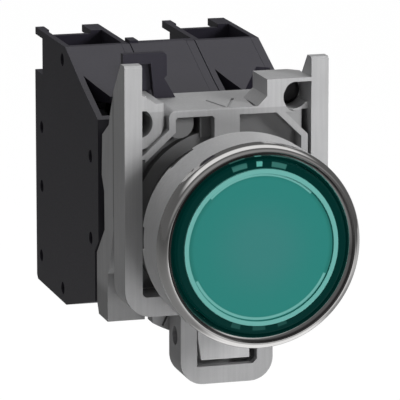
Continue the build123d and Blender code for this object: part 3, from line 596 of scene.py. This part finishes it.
# %% [markdown]
# ## Pieces that a rule draws
#
# The springs and the polished ring are round, so a short rule draws each of them better than
# any list of points. `Grower` is a geometry node tree with named inputs. What it grows is kept
# as a plain mesh: the modifier is only there while the mesh is made.


# %% Growers
crease_angle, seam_distance = math.radians(35), 1e-6


class Grower(Tree):
    """A geometry node tree with named inputs."""

    def __init__(self, name):
        super().__init__(bpy.data.node_groups.new(name, "GeometryNodeTree"))
        self.tree.interface.new_socket("Geometry", in_out="OUTPUT", socket_type="NodeSocketGeometry")
        self.metal = self.given("Metal", None, "Material")

    def given(self, name, value, kind="Float"):
        """A named input of the tree, with its usual value."""
        socket = self.tree.interface.new_socket(name, in_out="INPUT", socket_type="NodeSocket" + kind)
        if value is not None:
            socket.default_value = value
        return self.node("NodeGroupInput", output=name)

    def point(self, across, up):
        return self.node("ShaderNodeCombineXYZ", {}, {0: across, 1: up})

    def swept(self, path, profile, caps):
        """A profile carried along a path, welded, smooth and painted."""
        tube = self.node("GeometryNodeCurveToMesh", {}, {
            "Curve": path, "Profile Curve": profile, "Fill Caps": caps})
        welded = self.node("GeometryNodeMergeByDistance", {}, {"Geometry": tube, "Distance": seam_distance})
        smooth = self.node("GeometryNodeSetShadeSmooth", {}, {"Geometry": welded})
        real = self.node("GeometryNodeRealizeInstances", {}, {"Geometry": smooth})
        painted = self.node("GeometryNodeSetMaterial", {}, {"Geometry": real, "Material": self.metal})
        self.put(painted, self.tree.nodes.new("NodeGroupOutput").inputs["Geometry"])

    def grow(self, name, values, turn):
        """The plain mesh that the tree makes with these values, turned into its place."""
        piece = bpy.data.objects.new(name, bpy.data.meshes.new(name))
        scene.collection.objects.link(piece)
        modifier = piece.modifiers.new("tree", "NODES")
        modifier.node_group = self.tree
        for item in self.tree.interface.items_tree:
            if item.in_out == "INPUT" and item.name in values:
                modifier[item.identifier] = values[item.name]
        grown = piece.evaluated_get(bpy.context.evaluated_depsgraph_get())
        mesh = bpy.data.meshes.new_from_object(grown)
        piece.modifiers.clear()
        mesh.transform(turn)
        work = bmesh.new()
        work.from_mesh(mesh)
        bmesh.ops.recalc_face_normals(work, faces=work.faces)
        work.to_mesh(mesh)
        work.free()
        mesh.set_sharp_from_angle(angle=crease_angle)
        piece.data = mesh
        return piece


# %% [markdown]
# ### Coil springs
#
# A coil spring is a round wire along a helix. The Spiral node draws the helix, and a small
# circle is carried along it. The same tree serves every spring: only its sizes differ. Those of
# the two contact bridges ride on their bridges, and the others stay on the base.

# %% Coil tree
coil = Grower("coil_spring")
coil_radius = coil.given("Radius", 0.005)
coil_turns = coil.given("Turns", 4.0)
coil_length = coil.given("Length", 0.01)
wire_width = coil.given("Wire", 0.0003)
helix = coil.node("GeometryNodeCurveSpiral", {}, {
    "Resolution": 40, "Rotations": coil_turns, "Start Radius": coil_radius, "End Radius": coil_radius,
    "Height": coil_length})
wire_circle = coil.node("GeometryNodeCurvePrimitiveCircle", {}, {
    "Resolution": 12, "Radius": 0.5 * wire_width})
coil.swept(helix, wire_circle, caps=True)
print("coil tree:", len(coil.tree.nodes), "nodes")

# %% Springs in their places
along_y = Matrix.Rotation(math.radians(-90), 4, "X")


def spring(node, wire, turns, axis, body="base"):
    """A round-wire coil in the space of its CAD node.

    The wire is in millimetres.
    """
    low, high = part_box(node)
    size = high - low
    middle = (low + high) / 2
    along = 1 if axis == "Y" else 2
    start = Vector(middle)
    start[along] = low[along] + wire * MM / 2
    direction = along_y if axis == "Y" else Matrix.Identity(4)
    values = {"Radius": (size[0] - wire * MM) / 2, "Wire": wire * MM, "Turns": turns,
              "Length": size[along] - wire * MM, "Metal": spring_steel}
    piece = coil.grow(node + "_coil", values, Matrix.Translation(start) @ direction)
    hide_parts(node)
    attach(piece, body)
    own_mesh(piece)


spring("return_spring", wire=0.5, turns=5.0, axis="Y")
spring("latch_spring", wire=0.3, turns=3.0, axis="Z")
for side in ("left", "right"):
    spring(side + "_block_plunger_spring", wire=0.35, turns=8.0, axis="Y")
    spring(side + "_block_bridge_spring", wire=0.25, turns=6.0, axis="Y",
           body=side + "_bridge")

# %% [markdown]
# ### The polished ring
#
# The ring is turned: one outline goes once round the axis. The outline has a straight side, a
# rounded nose, a fine groove and a slope down to the lens. Two Bezier segments make the curved
# stretches and lines make the others; the tree works out their ends from the named sizes.
# The outline's X is measured outwards from the bore and its Y forwards from the flange.

# %% Ring sizes
ring = Grower("turned_ring")
bore = ring.given("Bore", 0.0125)
wall, height = ring.given("Wall", 0.002), ring.given("Height", 0.0025)
side_height, lip = ring.given("Side Height", 0.0009), ring.given("Lip Height", 0.0015)
nose = ring.given("Nose", 0.0008)
groove_width, groove_depth = ring.given("Groove Width", 0.0003), ring.given("Groove Depth", 0.00025)
foot_out, foot_in = ring.point(wall, 0.0), ring.point(0.0, 0.0)
side_top = ring.point(wall, side_height)
crown = ring.point(wall - nose, height)
floor_share, inner_edge_share = 0.7, 0.4
groove_floor = ring.point(wall - nose - floor_share * groove_width, height - groove_depth)
slope_top = ring.point(wall - nose - groove_width, height - inner_edge_share * groove_depth)
slope_end = ring.point(0.0, lip)
print("ring tree:", len(ring.tree.nodes), "nodes so far")


# %% Ring outline
def segment(start, end, first_handle=None, second_handle=None):
    """A straight line, or a curved stretch where it has handles."""
    if first_handle is None:
        return ring.node("GeometryNodeCurvePrimitiveLine", {}, {"Start": start, "End": end})
    return ring.node("GeometryNodeCurvePrimitiveBezierSegment", {}, {
        "Resolution": 14, "Start": start, "Start Handle": first_handle,
        "End Handle": second_handle, "End": end})


roundness = 0.56
nose_handles = (ring.point(wall, side_height + roundness * (height - side_height)),
                ring.point(wall - nose * (1.0 - roundness), height))
hollow_top, hollow_low = 0.55, 0.12
hollow_drop, hollow_rise = 0.8, 0.35
slope_handles = (ring.point((wall - nose) * hollow_top, height - hollow_drop * groove_depth),
                 ring.point((wall - nose) * hollow_low, lip + hollow_rise * (height - lip)))
outline = [
    segment(foot_in, foot_out),
    segment(foot_out, side_top),
    segment(side_top, crown, *nose_handles),
    segment(crown, groove_floor),
    segment(groove_floor, slope_top),
    segment(slope_top, slope_end, *slope_handles),
    segment(slope_end, foot_in),
]
profile = ring.node("GeometryNodeJoinGeometry", {}, {"Geometry": outline})
circle = ring.node("GeometryNodeCurvePrimitiveCircle", {}, {"Resolution": 192, "Radius": bore})
ring.swept(circle, profile, caps=False)
print("ring outline:", len(outline), "stretches")

# %% Ring in its place
ring_low, ring_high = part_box("bezel_ring")
outer_radius, bore_radius = (ring_high[0] - ring_low[0]) / 2, 12.5 * MM
sizes = {
    "Bore": bore_radius, "Wall": outer_radius - bore_radius, "Height": ring_high[1] - ring_low[1],
    "Side Height": 0.9 * MM, "Lip Height": 1.55 * MM, "Nose": 1.0 * MM,
    "Groove Width": 0.35 * MM, "Groove Depth": 0.25 * MM, "Metal": chrome,
}
face_forward = Matrix.Translation((0, ring_high[1], 0)) @ along_y
bezel = ring.grow("bezel_ring_finish", sizes, face_forward)
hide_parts("bezel_ring")
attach(bezel, bodies["bezel_ring"])
print("ring:", len(bezel.data.vertices), "vertices", [round(v / MM, 2) for v in bezel.dimensions], "mm")
